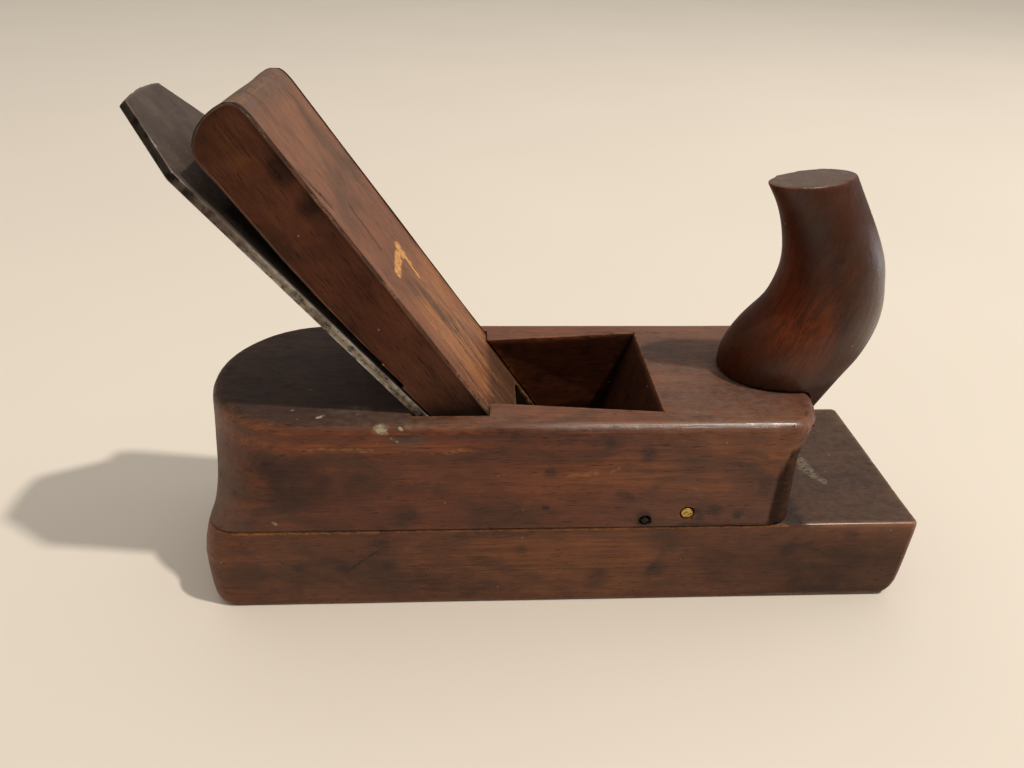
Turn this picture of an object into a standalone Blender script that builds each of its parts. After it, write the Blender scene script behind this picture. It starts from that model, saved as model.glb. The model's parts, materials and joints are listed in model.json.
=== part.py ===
"""Wooden horn plane: a moulded stock glued on a thick sole board that steps out as the toe,
a front horn let into the stock, one tapered iron on a sloping bed, and a forked wedge.

Metres, +X towards the toe, +Z up. The sole lies on Z = 0 and the origin is under the middle
of the whole plane's box.
"""

import math

import bmesh
import bpy
from mathutils import Matrix, Vector

# ---- Driving dimensions ---------------------------------------------------------------

GAP = 0.0003  # between pieces that touch
HALF_LENGTH = 0.112  # the toe's end and the iron's top end are both this far from the origin
WIDTH = 0.066  # across the sole
SOLE_THICKNESS = 0.031
STOCK_HEIGHT = 0.068  # from the sole's face to the stock's top
STOCK_TOP_INSET = 0.0006  # the stock's sides lean in by this much at the top
TOP_ARRIS = 0.003  # rounding of the stock's top edge
SOLE_ARRIS = 0.0006  # small rounding of the sole board's long edges

BED_ANGLE = math.radians(50.5)
WEDGE_TAPER = math.radians(5.4)
BED_TOP_X = -0.04496  # where the bed runs out through the stock's top
WEDGE_FRONT_TOP_X = -0.0230  # where the wedge's front face crosses the stock's top
GROOVE_HALF_WIDTH = 0.0260  # the iron and the wedge lie between the two groove walls
MOUTH_HALF_WIDTH = 0.0256

IRON_NEAR_Y = -0.0250  # the iron has crept over to one side of its bed
IRON_FAR_Y = 0.0230
IRON_EDGE_THICKNESS = 0.0032
IRON_TOP_THICKNESS = 0.0025
IRON_EDGE_HEIGHT = 0.0006  # the cutting edge stands this far above the sole's face
IRON_BEVEL = math.radians(27.0)
IRON_TIP_FLAT = 0.0002  # the ground edge is left this thick
IRON_TOP_CROWN = 0.0010
IRON_CROWN_STEPS = 8
# Each clipped corner, as (how far down its side it starts, where across the top it ends).
IRON_NEAR_CLIP = (0.0185, -0.0140)
IRON_FAR_CLIP = (0.0225, 0.0088)

WEDGE_HALF_WIDTH = 0.025
WEDGE_TOP_HALF_WIDTH = 0.0238
WEDGE_TOP_S = 0.0914
WEDGE_LEG_S = -0.068
WEDGE_FORK_S = -0.0323
WEDGE_FORK_HALF_WIDTH = 0.0182
WEDGE_CONTACT_S = 0.017  # above here the underside is relieved
WEDGE_ARRIS = 0.0007
WEDGE_FORK_ROUND = 0.004
# The wedge from the side, as (beyond WEDGE_CONTACT_S, above the iron): the underside lifts off
# the iron, turns round the top end and meets the front face WEDGE_FRONT_END beyond the contact.
WEDGE_RELIEF = ((0.0, 0.0008), (0.020, 0.0016), (0.038, 0.0027), (0.053, 0.0042), (0.0615, 0.0050))
WEDGE_ROUND_TOP = ((0.0664, 0.0050), (0.0700, 0.0062), (0.0725, 0.0098), (0.0734, 0.0140))
WEDGE_ROUND_FRONT = ((0.0733, 0.0176), (0.0727, 0.0204), (0.0714, 0.0222), (0.0696, 0.0230))
WEDGE_FRONT_END = 0.0668

HORN_SEAT_BACK_X = 0.0580  # rear wall of the horn's housing in the stock
HORN_SEAT_FLOOR_Z = 0.0420
HORN_SEAT_BACK_HALF = 0.0120
HORN_SEAT_FRONT_HALF = 0.0093
HORN_SEAT_FRONT_X = 0.0800

BRASS_PIN_X = 0.0377
BRASS_PIN_Z = 0.0362
BRASS_PIN_RADIUS = 0.0019
BRASS_PIN_LENGTH = 0.022
NAIL_X = 0.0250
NAIL_Z = 0.0335
NAIL_RADIUS = 0.0015
NAIL_LENGTH = 0.028
PIN_SINK = 0.0001  # the pins' ends lie this far under the stock's side

# Where the two ends stand at each height, as (height, x): a rounded bottom edge, the swell of
# the sole, the hollow above the joint and the lip under the top.
HEEL_PROFILE = (
    (0.0, -0.1072),
    (0.002, -0.1095),
    (0.006, -0.1106),
    (0.014, -0.1110),
    (0.022, -0.1104),
    (0.029, -0.1086),
    (0.036, -0.1062),
    (0.045, -0.1055),
    (0.056, -0.1064),
    (0.062, -0.1068),
    (0.068, -0.1064),
)
TOE_PROFILE = (
    (0.0, 0.1068),
    (0.0015, 0.1094),
    (0.0045, 0.1112),
    (0.009, 0.1118),
    (0.020, 0.1120),
    (0.0295, 0.1120),
    (0.031, 0.1118),
)
FRONT_PROFILE = (
    (0.031, 0.0712),
    (0.036, 0.0704),
    (0.046, 0.0698),
    (0.054, 0.0702),
    (0.060, 0.0734),
    (0.0645, 0.0758),
    (0.068, 0.0756),
)
# Half-axes of the rounded corners seen from above, as (height, along x, along y).
HEEL_CORNERS = (
    (0.0, 0.0058, 0.0058),
    (0.010, 0.0078, 0.0078),
    (0.030, 0.0095, 0.0095),
    (0.045, 0.0170, 0.0190),
    (0.060, 0.0290, 0.0302),
    (0.068, 0.0318, 0.0322),
)
FRONT_CORNERS = (
    (0.031, 0.0045, 0.0055),
    (0.052, 0.0050, 0.0060),
    (0.062, 0.0100, 0.0160),
    (0.068, 0.0110, 0.0190),
)
TOE_CORNER = 0.0019
CORNER_STEPS = 16

# The horn's side view: pairs of (x, z) on its rear and front outlines, from the chin under the
# stock's lip up to the cut top, then each section's half-width, sideways offset and twist in
# degrees, which turns the front of the section towards +Y.
HORN_SECTIONS = (
    ((0.0560, 0.0425), (0.0738, 0.0425), 0.0118, 0.0, 0.0),
    ((0.0545, 0.0520), (0.0798, 0.0505), 0.0130, 0.0, 0.0),
    ((0.0515, 0.0620), (0.0852, 0.0605), 0.0148, 0.0, 0.0),
    ((0.0506, 0.0700), (0.0899, 0.0692), 0.0157, 0.0, 0.0),
    ((0.0514, 0.0765), (0.0946, 0.0775), 0.0160, 0.0, 0.0),
    ((0.0555, 0.0838), (0.0972, 0.0860), 0.0155, 0.0002, 0.0),
    ((0.0614, 0.0908), (0.0975, 0.0930), 0.0146, 0.0004, 2.0),
    ((0.0640, 0.0978), (0.0966, 0.0987), 0.0136, 0.0006, 4.0),
    ((0.0646, 0.1050), (0.0951, 0.1056), 0.0124, 0.0010, 6.0),
    ((0.0627, 0.1136), (0.0919, 0.1129), 0.0108, 0.0012, 9.0),
    ((0.0594, 0.1213), (0.0879, 0.1203), 0.0091, 0.0014, 12.0),
    ((0.0549, 0.1281), (0.0824, 0.1300), 0.0075, 0.0017, 14.0),
)
HORN_SEGMENTS = 40
HORN_STEPS = 3  # sections made from each listed one to the next


# ---- Small helpers --------------------------------------------------------------------


def clear_scene():
    for item in list(bpy.data.objects):
        bpy.data.objects.remove(item, do_unlink=True)


def smooth_value(knots, at, column=1):
    """Smooth curve through the knots' column, held flat at both ends."""
    if at <= knots[0][0]:
        return knots[0][column]
    if at >= knots[-1][0]:
        return knots[-1][column]
    index = max(i for i, knot in enumerate(knots) if knot[0] <= at)
    index = min(index, len(knots) - 2)
    low, high = knots[index], knots[index + 1]
    span = high[0] - low[0]
    t = (at - low[0]) / span
    slope_low = knot_slope(knots, index, column) * span
    slope_high = knot_slope(knots, index + 1, column) * span
    return (
        (2 * t**3 - 3 * t**2 + 1) * low[column]
        + (t**3 - 2 * t**2 + t) * slope_low
        + (3 * t**2 - 2 * t**3) * high[column]
        + (t**3 - t**2) * slope_high
    )


def knot_slope(knots, index, column):
    before = knots[max(index - 1, 0)]
    after = knots[min(index + 1, len(knots) - 1)]
    return (after[column] - before[column]) / (after[0] - before[0])


def on_bed(along, off, across=0.0):
    """A point given along the bed (up the slope), off the bed (towards the wedge), across."""
    return Vector(
        (
            BED_TOP_X - along * math.cos(BED_ANGLE) + off * math.sin(BED_ANGLE),
            across,
            STOCK_HEIGHT + along * math.sin(BED_ANGLE) + off * math.cos(BED_ANGLE),
        )
    )


def new_object(name, mesh, material=None):
    item = bpy.data.objects.new(name, mesh)
    bpy.context.scene.collection.objects.link(item)
    if material:
        mesh.materials.append(material)
    return item


def mesh_from_bmesh(name, work):
    bmesh.ops.recalc_face_normals(work, faces=work.faces)
    mesh = bpy.data.meshes.new(name)
    work.to_mesh(mesh)
    work.free()
    return mesh


def loft(name, loops):
    """A closed solid through loops of equal length, with its first and last loop filled."""
    work = bmesh.new()
    rings = [[work.verts.new(point) for point in loop] for loop in loops]
    count = len(rings[0])
    for lower, upper in zip(rings, rings[1:]):
        for i in range(count):
            j = (i + 1) % count
            work.faces.new((lower[i], lower[j], upper[j], upper[i]))
    work.faces.new(rings[0])
    work.faces.new(rings[-1])
    return mesh_from_bmesh(name, work)


def hide_cutter(item):
    item.hide_render = True
    item.display_type = "WIRE"
    return item


def boolean(item, other, operation="DIFFERENCE"):
    modifier = item.modifiers.new(f"{operation.lower()}_{other.name}", "BOOLEAN")
    modifier.operation = operation
    modifier.solver = "EXACT"
    modifier.object = other


def shade_round(item, angle_degrees=35.0):
    item.data.shade_smooth()
    item.data.set_sharp_from_angle(angle=math.radians(angle_degrees))


def make_material(name, color, roughness, metallic):
    material = bpy.data.materials.new(name)
    material.use_nodes = True
    shader = material.node_tree.nodes["Principled BSDF"]
    shader.inputs["Base Color"].default_value = (*color, 1.0)
    shader.inputs["Roughness"].default_value = roughness
    shader.inputs["Metallic"].default_value = metallic
    return material


# ---- Outlines -------------------------------------------------------------------------


def corner_points(centre_x, centre_y, axis_x, axis_y, start_degrees):
    points = []
    for step in range(CORNER_STEPS + 1):
        angle = math.radians(start_degrees + 90.0 * step / CORNER_STEPS)
        points.append((centre_x + axis_x * math.cos(angle), centre_y + axis_y * math.sin(angle)))
    return points


def plan_loop(z, heel_x, front_x, half_width, heel_corner, front_corner, inset=0.0):
    """A level outline with four elliptic corners, drawn in by inset all round."""
    heel_x += inset
    front_x -= inset
    half_width -= inset
    heel_a, heel_b = (max(value - inset, 0.001) for value in heel_corner)
    front_a, front_b = (max(value - inset, 0.001) for value in front_corner)
    flat = corner_points(front_x - front_a, half_width - front_b, front_a, front_b, 0)
    flat += corner_points(heel_x + heel_a, half_width - heel_b, heel_a, heel_b, 90)
    flat += corner_points(heel_x + heel_a, heel_b - half_width, heel_a, heel_b, 180)
    flat += corner_points(front_x - front_a, front_b - half_width, front_a, front_b, 270)
    return [Vector((x, y, z)) for x, y in flat]


def stock_loop(z, grow=0.0, inset=0.0):
    lean = STOCK_TOP_INSET * (z - SOLE_THICKNESS) / (STOCK_HEIGHT - SOLE_THICKNESS)
    heel_corner = (smooth_value(HEEL_CORNERS, z, 1), smooth_value(HEEL_CORNERS, z, 2))
    front_corner = (smooth_value(FRONT_CORNERS, z, 1), smooth_value(FRONT_CORNERS, z, 2))
    return plan_loop(
        z,
        smooth_value(HEEL_PROFILE, z),
        smooth_value(FRONT_PROFILE, z),
        WIDTH / 2 - lean,
        heel_corner,
        front_corner,
        inset - grow,
    )


def stock_levels(bottom, grow=0.0):
    """The moulded wall from the joint up, then the rounded top edge."""
    wall_top = STOCK_HEIGHT - TOP_ARRIS
    wall_steps = 18
    loops = []
    for step in range(wall_steps + 1):
        loops.append(stock_loop(bottom + (wall_top - bottom) * step / wall_steps, grow))
    arris_steps = 6
    for step in range(1, arris_steps + 1):
        angle = math.pi / 2 * step / arris_steps
        z = wall_top + TOP_ARRIS * math.sin(angle)
        loops.append(stock_loop(z, grow, TOP_ARRIS * (1 - math.cos(angle))))
    return loops


# ---- The throat -----------------------------------------------------------------------


def wedge_front_off(along):
    """How far off the bed the wedge's front face is, at a place along the bed."""
    crossing = WEDGE_FRONT_TOP_X - BED_TOP_X
    crossing_along = -crossing * math.cos(BED_ANGLE)
    crossing_off = crossing * math.sin(BED_ANGLE)
    return crossing_off + (along - crossing_along) * math.tan(WEDGE_TAPER)


def wedge_front_x(z):
    return WEDGE_FRONT_TOP_X + (STOCK_HEIGHT - z) / math.tan(BED_ANGLE + WEDGE_TAPER)


def bed_x(z):
    return BED_TOP_X + (STOCK_HEIGHT - z) / math.tan(BED_ANGLE)


def slot_cutter():
    """The sloping slot for iron and wedge, from bed to abutments, through the whole body."""
    low, high = -0.002, STOCK_HEIGHT + 0.002
    abutment_gap = GAP / math.sin(BED_ANGLE + WEDGE_TAPER)
    side = [
        (bed_x(low), low),
        (wedge_front_x(low) + abutment_gap, low),
        (wedge_front_x(high) + abutment_gap, high),
        (bed_x(high), high),
    ]
    loops = [[Vector((x, y, z)) for x, z in side] for y in (-GROOVE_HALF_WIDTH, GROOVE_HALF_WIDTH)]
    return hide_cutter(new_object("slot_cutter", loft("slot_cutter", loops)))


def escapement_cutter():
    """The open throat ahead of the wedge: (height, front wall x, rear and front half-width)."""
    levels = (
        (-0.002, 0.0176, MOUTH_HALF_WIDTH, MOUTH_HALF_WIDTH),
        (0.007, 0.0178, MOUTH_HALF_WIDTH, MOUTH_HALF_WIDTH),
        (0.031, 0.0184, 0.0215, 0.0242),
        (0.042, 0.0204, 0.0187, 0.0238),
        (STOCK_HEIGHT, 0.0283, 0.0192, 0.0245),
        (STOCK_HEIGHT + 0.002, 0.0289, 0.0192, 0.0245),
    )
    overlap = 0.002
    loops = []
    for z, front_x, rear_half, front_half in levels:
        rear_x = wedge_front_x(z) - overlap
        rear_x = min(rear_x, front_x - overlap)
        loops.append(
            [
                Vector((rear_x, -rear_half, z)),
                Vector((front_x, -front_half, z)),
                Vector((front_x, front_half, z)),
                Vector((rear_x, rear_half, z)),
            ]
        )
    return hide_cutter(new_object("escapement_cutter", loft("escapement_cutter", loops)))


# ---- Wooden body ----------------------------------------------------------------------


def seat_prism(name, clearance, bottom, top):
    """The dovetail shape, wider at the back, by which the horn is let into the stock."""
    back = HORN_SEAT_BACK_X + clearance
    plan = (
        (back, -HORN_SEAT_BACK_HALF + clearance),
        (HORN_SEAT_FRONT_X, -HORN_SEAT_FRONT_HALF + clearance),
        (HORN_SEAT_FRONT_X, HORN_SEAT_FRONT_HALF - clearance),
        (back, HORN_SEAT_BACK_HALF - clearance),
    )
    return loft(name, [[Vector((x, y, z)) for x, y in plan] for z in (bottom, top)])


def round_bar(name, radius, x, z, start_y, end_y, segments):
    loops = []
    for y in (start_y, end_y):
        ring = []
        for step in range(segments):
            angle = 2 * math.pi * step / segments
            ring.append(Vector((x + radius * math.cos(angle), y, z + radius * math.sin(angle))))
        loops.append(ring)
    return loft(name, loops)


def pin_cutter(name, radius, x, z, length):
    outside = -WIDTH / 2 - 0.002
    inner = -WIDTH / 2 + length + 2 * GAP
    mesh = round_bar(name, radius + GAP, x, z, outside, inner, 16)
    return hide_cutter(new_object(name, mesh))


def make_body_block(material, slot, escapement):
    bottom = SOLE_THICKNESS + GAP
    block = new_object("body_block", loft("body_block", stock_levels(bottom)), material)
    seat_mesh = seat_prism("horn_seat_cutter", 0.0, HORN_SEAT_FLOOR_Z, STOCK_HEIGHT + 0.004)
    seat = hide_cutter(new_object("horn_seat_cutter", seat_mesh))
    brass_hole = pin_cutter(
        "brass_hole", BRASS_PIN_RADIUS, BRASS_PIN_X, BRASS_PIN_Z, BRASS_PIN_LENGTH
    )
    nail_hole = pin_cutter("nail_hole", NAIL_RADIUS, NAIL_X, NAIL_Z, NAIL_LENGTH)
    for cutter in (slot, escapement, seat, brass_hole, nail_hole):
        boolean(block, cutter)
    shade_round(block)
    return block


def sole_loop(z, inset=0.0):
    heel_corner = (smooth_value(HEEL_CORNERS, z, 1), smooth_value(HEEL_CORNERS, z, 2))
    return plan_loop(
        z,
        smooth_value(HEEL_PROFILE, z),
        smooth_value(TOE_PROFILE, z),
        WIDTH / 2,
        heel_corner,
        (TOE_CORNER, TOE_CORNER),
        inset,
    )


def make_sole_board(material, slot, escapement):
    rounded_edge = (0.0, 0.001, 0.002, 0.0035, 0.006)
    wall = (0.010, 0.015, 0.020, 0.025, 0.028)
    loops = [sole_loop(0.0, SOLE_ARRIS)]
    loops += [sole_loop(z) for z in rounded_edge[1:] + wall]
    loops.append(sole_loop(SOLE_THICKNESS - SOLE_ARRIS))
    loops.append(sole_loop(SOLE_THICKNESS, SOLE_ARRIS))
    board = new_object("sole_board", loft("sole_board", loops), material)
    for cutter in (slot, escapement):
        boolean(board, cutter)
    shade_round(board)
    return board


# ---- Horn -----------------------------------------------------------------------------


def horn_loop(rear, front, half_width, offset, twist):
    centre = Vector(((rear[0] + front[0]) / 2, offset, (rear[1] + front[1]) / 2))
    reach = Vector(((front[0] - rear[0]) / 2, 0.0, (front[1] - rear[1]) / 2))
    side = Vector((0.0, half_width, 0.0))
    turn = Matrix.Rotation(math.radians(twist), 3, "Z")
    reach = turn @ reach
    side = turn @ side
    ring = []
    for step in range(HORN_SEGMENTS):
        angle = 2 * math.pi * step / HORN_SEGMENTS
        ring.append(centre + reach * math.cos(angle) + side * math.sin(angle))
    return ring


def horn_loops():
    """Sections between the listed ones are interpolated smoothly."""
    rows = []
    for index, (rear, front, half_width, offset, twist) in enumerate(HORN_SECTIONS):
        rows.append((float(index), *rear, *front, half_width, offset, twist))
    loops = []
    for step in range(HORN_STEPS * (len(rows) - 1) + 1):
        at = step / HORN_STEPS
        rear_x, rear_z, front_x, front_z, half_width, offset, twist = (
            smooth_value(rows, at, column) for column in range(1, 8)
        )
        loops.append(horn_loop((rear_x, rear_z), (front_x, front_z), half_width, offset, twist))
    return loops


def make_horn(material):
    """The horn's full shape, less everything of the stock but the housing for its tongue."""
    horn = new_object("horn", loft("horn", horn_loops()), material)
    envelope_loops = stock_levels(SOLE_THICKNESS + GAP, GAP)
    for point in envelope_loops[-1]:
        point.z += GAP
    scribe = hide_cutter(new_object("stock_scribe", loft("stock_scribe", envelope_loops)))
    housing_mesh = seat_prism("housing", GAP, HORN_SEAT_FLOOR_Z + GAP, STOCK_HEIGHT + 0.004)
    boolean(scribe, hide_cutter(new_object("housing", housing_mesh)))
    boolean(horn, scribe)
    shade_round(horn)
    return horn


# ---- Iron and wedge -------------------------------------------------------------------


def iron_edge_along():
    """Place of the cutting edge along the bed: on the front face, just above the sole."""
    off = GAP + IRON_EDGE_THICKNESS
    drop = STOCK_HEIGHT - IRON_EDGE_HEIGHT + off * math.cos(BED_ANGLE)
    return -drop / math.sin(BED_ANGLE)


def iron_top_along():
    """The back face's top corner reaches the end of the plane's box."""
    reach = HALF_LENGTH + BED_TOP_X + GAP * math.sin(BED_ANGLE)
    return reach / math.cos(BED_ANGLE)


def iron_thickness(along):
    share = (along - iron_edge_along()) / (iron_top_along() - iron_edge_along())
    return IRON_EDGE_THICKNESS + (IRON_TOP_THICKNESS - IRON_EDGE_THICKNESS) * share


def iron_outline():
    """The iron seen square on, as (along, across): square edge, clipped and crowned top."""
    edge = iron_edge_along()
    top = iron_top_along() - IRON_TOP_CROWN
    near_shoulder = (top - IRON_NEAR_CLIP[0], IRON_NEAR_Y)
    near_clip = (top, IRON_NEAR_CLIP[1])
    far_clip = (top, IRON_FAR_CLIP[1])
    far_shoulder = (top - IRON_FAR_CLIP[0], IRON_FAR_Y)
    crown = []
    for step in range(1, IRON_CROWN_STEPS):
        share = step / IRON_CROWN_STEPS
        rise = 4 * share * (1 - share) * IRON_TOP_CROWN
        crown.append((top + rise, near_clip[1] + share * (far_clip[1] - near_clip[1])))
    return [
        (edge, IRON_NEAR_Y),
        near_shoulder,
        near_clip,
        *crown,
        far_clip,
        far_shoulder,
        (edge, IRON_FAR_Y),
    ]


def make_iron(material):
    """One tapered plate: each outline point on the front face has a partner on the back."""
    edge = iron_edge_along()
    ground_off = GAP + IRON_EDGE_THICKNESS - IRON_TIP_FLAT
    bevel_length = (IRON_EDGE_THICKNESS - IRON_TIP_FLAT) / math.tan(IRON_BEVEL)
    outline = iron_outline()
    work = bmesh.new()
    front = [work.verts.new(on_bed(s, GAP + iron_thickness(s), y)) for s, y in outline]
    back = []
    for s, y in outline:
        start = s + bevel_length if s == edge else s
        back.append(work.verts.new(on_bed(start, GAP, y)))
    for i in range(len(outline) - 1):
        work.faces.new((front[i], front[i + 1], back[i + 1], back[i]))
    near_tip = work.verts.new(on_bed(edge, ground_off, IRON_NEAR_Y))
    far_tip = work.verts.new(on_bed(edge, ground_off, IRON_FAR_Y))
    work.faces.new((front[-1], front[0], near_tip, far_tip))
    work.faces.new((far_tip, near_tip, back[0], back[-1]))
    work.faces.new((front[0], back[0], near_tip))
    work.faces.new((front[-1], far_tip, back[-1]))
    work.faces.new(front)
    work.faces.new(back)
    bmesh.ops.triangulate(work, faces=work.faces)
    return new_object("cutting_iron", mesh_from_bmesh("cutting_iron", work), material)


def cut_corners(points):
    """The same line with each corner cut off, a quarter of the way along both its sides."""
    smooth = [points[0]]
    for start, end in zip(points, points[1:]):
        for share in (0.25, 0.75):
            smooth.append(tuple(a + share * (b - a) for a, b in zip(start, end)))
    return smooth + [points[-1]]


def wedge_side_view():
    """The wedge from the side, as (along, off the bed): leg end, seat, relief, round top."""

    def seat(along):
        return 2 * GAP + iron_thickness(along)

    def lifted(rows):
        return [(WEDGE_CONTACT_S + beyond, seat(WEDGE_CONTACT_S + beyond) + lift) for beyond, lift in rows]

    points = [(WEDGE_LEG_S, seat(WEDGE_LEG_S)), (WEDGE_CONTACT_S, seat(WEDGE_CONTACT_S))]
    points += lifted(WEDGE_RELIEF[:-1])
    front_corner = WEDGE_CONTACT_S + WEDGE_FRONT_END
    end = lifted(WEDGE_RELIEF[-1:] + WEDGE_ROUND_TOP + WEDGE_ROUND_FRONT)
    end.append((front_corner, wedge_front_off(front_corner)))
    points += cut_corners(cut_corners(end))
    points.append((WEDGE_LEG_S, wedge_front_off(WEDGE_LEG_S)))
    return points


def fork_cutter():
    """Takes out the wedge's middle below the fork, with rounded inner corners."""
    radius = WEDGE_FORK_ROUND
    half = WEDGE_FORK_HALF_WIDTH
    outline = [(WEDGE_LEG_S - 0.01, -half)]
    for turn in range(5):
        angle = math.pi / 2 * turn / 4
        outline.append(
            (
                WEDGE_FORK_S - radius * (1 - math.sin(angle)),
                -half + radius * (1 - math.cos(angle)),
            )
        )
    outline += [(s, -y) for s, y in reversed(outline)]
    loops = [[on_bed(s, off, y) for s, y in outline] for off in (-0.005, 0.030)]
    return hide_cutter(new_object("fork_cutter", loft("fork_cutter", loops)))


def make_wedge(material):
    side = wedge_side_view()
    loops = []
    for sign in (-1.0, 1.0):
        ring = []
        for along, off in side:
            share = (along - WEDGE_LEG_S) / (WEDGE_TOP_S - WEDGE_LEG_S)
            half = WEDGE_HALF_WIDTH + (WEDGE_TOP_HALF_WIDTH - WEDGE_HALF_WIDTH) * share
            ring.append(on_bed(along, off, sign * half))
        loops.append(ring)
    wedge = new_object("wedge", loft("wedge", loops), material)
    bevel = wedge.modifiers.new("arris", "BEVEL")
    bevel.width = WEDGE_ARRIS
    bevel.segments = 2
    bevel.limit_method = "ANGLE"
    bevel.angle_limit = math.radians(50.0)
    boolean(wedge, fork_cutter())
    shade_round(wedge)
    return wedge


# ---- Pins -----------------------------------------------------------------------------


def make_pin(name, radius, x, z, length, segments, material):
    start = -WIDTH / 2 + PIN_SINK
    mesh = round_bar(name, radius, x, z, start, start + length, segments)
    pin = new_object(name, mesh, material)
    shade_round(pin)
    return pin


def main():
    clear_scene()
    stock_wood = make_material("stock_wood", (0.120, 0.050, 0.026), 0.42, 0.0)
    sole_wood = make_material("sole_wood", (0.140, 0.062, 0.030), 0.45, 0.0)
    horn_wood = make_material("horn_wood", (0.150, 0.050, 0.022), 0.30, 0.0)
    wedge_wood = make_material("wedge_wood", (0.170, 0.075, 0.036), 0.50, 0.0)
    iron_steel = make_material("iron_steel", (0.120, 0.105, 0.090), 0.45, 1.0)
    pin_brass = make_material("pin_brass", (0.560, 0.400, 0.120), 0.40, 1.0)
    nail_iron = make_material("nail_iron", (0.030, 0.024, 0.020), 0.70, 1.0)

    slot = slot_cutter()
    escapement = escapement_cutter()
    make_body_block(stock_wood, slot, escapement)
    make_sole_board(sole_wood, slot, escapement)
    make_horn(horn_wood)
    make_iron(iron_steel)
    make_wedge(wedge_wood)
    make_pin(
        "brass_pin", BRASS_PIN_RADIUS, BRASS_PIN_X, BRASS_PIN_Z, BRASS_PIN_LENGTH, 16, pin_brass
    )
    make_pin("iron_nail", NAIL_RADIUS, NAIL_X, NAIL_Z, NAIL_LENGTH, 4, nail_iron)


main()
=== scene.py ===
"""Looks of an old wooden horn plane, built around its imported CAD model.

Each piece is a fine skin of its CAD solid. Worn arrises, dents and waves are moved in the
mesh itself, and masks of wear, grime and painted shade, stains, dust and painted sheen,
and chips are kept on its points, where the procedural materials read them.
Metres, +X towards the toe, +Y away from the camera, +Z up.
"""

import itertools
import json
import math

import bmesh
import bpy
import numpy as np
from mathutils import Matrix, Vector


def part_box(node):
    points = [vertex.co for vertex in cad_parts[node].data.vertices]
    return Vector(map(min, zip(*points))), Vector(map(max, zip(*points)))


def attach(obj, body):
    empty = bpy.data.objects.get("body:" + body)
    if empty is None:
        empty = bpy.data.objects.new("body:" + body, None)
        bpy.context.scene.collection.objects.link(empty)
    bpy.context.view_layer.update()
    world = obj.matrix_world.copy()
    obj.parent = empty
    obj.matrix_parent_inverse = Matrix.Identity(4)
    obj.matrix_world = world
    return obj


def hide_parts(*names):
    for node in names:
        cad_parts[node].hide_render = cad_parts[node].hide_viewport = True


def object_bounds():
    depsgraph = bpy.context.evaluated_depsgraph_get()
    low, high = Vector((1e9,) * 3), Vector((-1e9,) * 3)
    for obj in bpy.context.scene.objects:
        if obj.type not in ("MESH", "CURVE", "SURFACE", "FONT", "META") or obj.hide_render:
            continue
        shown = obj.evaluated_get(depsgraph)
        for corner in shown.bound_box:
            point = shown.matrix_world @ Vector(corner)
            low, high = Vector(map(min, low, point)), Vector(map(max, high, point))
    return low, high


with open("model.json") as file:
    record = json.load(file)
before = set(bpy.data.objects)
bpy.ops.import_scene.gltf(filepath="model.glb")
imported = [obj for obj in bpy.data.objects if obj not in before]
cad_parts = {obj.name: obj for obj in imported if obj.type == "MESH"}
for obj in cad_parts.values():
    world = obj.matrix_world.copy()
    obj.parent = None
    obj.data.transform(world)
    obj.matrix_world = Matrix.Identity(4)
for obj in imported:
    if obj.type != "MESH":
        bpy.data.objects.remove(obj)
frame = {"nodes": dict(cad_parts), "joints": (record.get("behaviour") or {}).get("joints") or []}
cad_low, cad_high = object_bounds()

MM = 0.001
XYZ = (Vector((1.0, 0.0, 0.0)), Vector((0.0, 1.0, 0.0)), Vector((0.0, 0.0, 1.0)))

STOCK_LOW, STOCK_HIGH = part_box("body_block")
HORN_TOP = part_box("horn")[1].z
WEDGE_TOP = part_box("wedge")[1].z
NAIL_LOW, NAIL_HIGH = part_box("iron_nail")
AXES = {joint["name"]: Vector(joint["axis"]) for joint in frame["joints"]}
BED_AXIS = AXES["iron_slide"]
WEDGE_AXIS = AXES["wedge_slide"]
NEAR_Y = STOCK_LOW.y
TOP_Z = STOCK_HIGH.z
JOINT_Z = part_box("sole_board")[1].z

WEDGE_FRONT = Vector((-23.0 * MM, 0.0, TOP_Z))  # where the wedge's face meets the stock's top
WEDGE_OUT = Vector((WEDGE_AXIS.z, 0.0, -WEDGE_AXIS.x))  # straight out of that face
WEDGE_NEAR_Y = -25.0 * MM
THROAT_HALF_WIDTH = 26.5 * MM


# ---- Noise and skins ------------------------------------------------------------------

LATTICE_SIDE = 32
LATTICE_SHIFT = 7.3  # keeps the middle planes of the object off the lattice's own planes
WELD_DISTANCE = 1e-6
FLAT_ANGLE = 0.002
ARRIS_ANGLE = 0.5
SHARP_ANGLE = math.radians(50.0)


def soft_noise(points, cell, seed):
    """Smooth noise from -1 to 1 with bumps about one cell across, for an array of points."""
    side = LATTICE_SIDE
    lattice = np.random.default_rng(seed).uniform(-1.0, 1.0, (side, side, side))
    scaled = points / np.asarray(cell) + LATTICE_SHIFT
    base = np.floor(scaled).astype(int)
    part = scaled - base
    part = part * part * (3 - 2 * part)
    total = np.zeros(len(points))
    for corner in itertools.product((0, 1), repeat=3):
        share = np.where(corner, part, 1 - part).prod(axis=1)
        place = (base + corner) % side
        total += share * lattice[place[:, 0], place[:, 1], place[:, 2]]
    return total


def rough_noise(points, cell, seed, layers=3):
    """Several layers of soft noise, each half the size and strength of the one before."""
    total = np.zeros(len(points))
    for layer in range(layers):
        share = 0.5**layer
        total += share * soft_noise(points, np.asarray(cell) * share, seed + layer)
    return total


def ramp(values, low, high):
    """0 at low, 1 at high, smooth between."""
    t = np.clip((values - low) / (high - low), 0.0, 1.0)
    return t * t * (3 - 2 * t)


def weld(mesh):
    """Joins the corners that lie on each other."""
    work = bmesh.new()
    work.from_mesh(mesh)
    bmesh.ops.remove_doubles(work, verts=work.verts, dist=WELD_DISTANCE)
    work.to_mesh(mesh)
    work.free()


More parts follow.
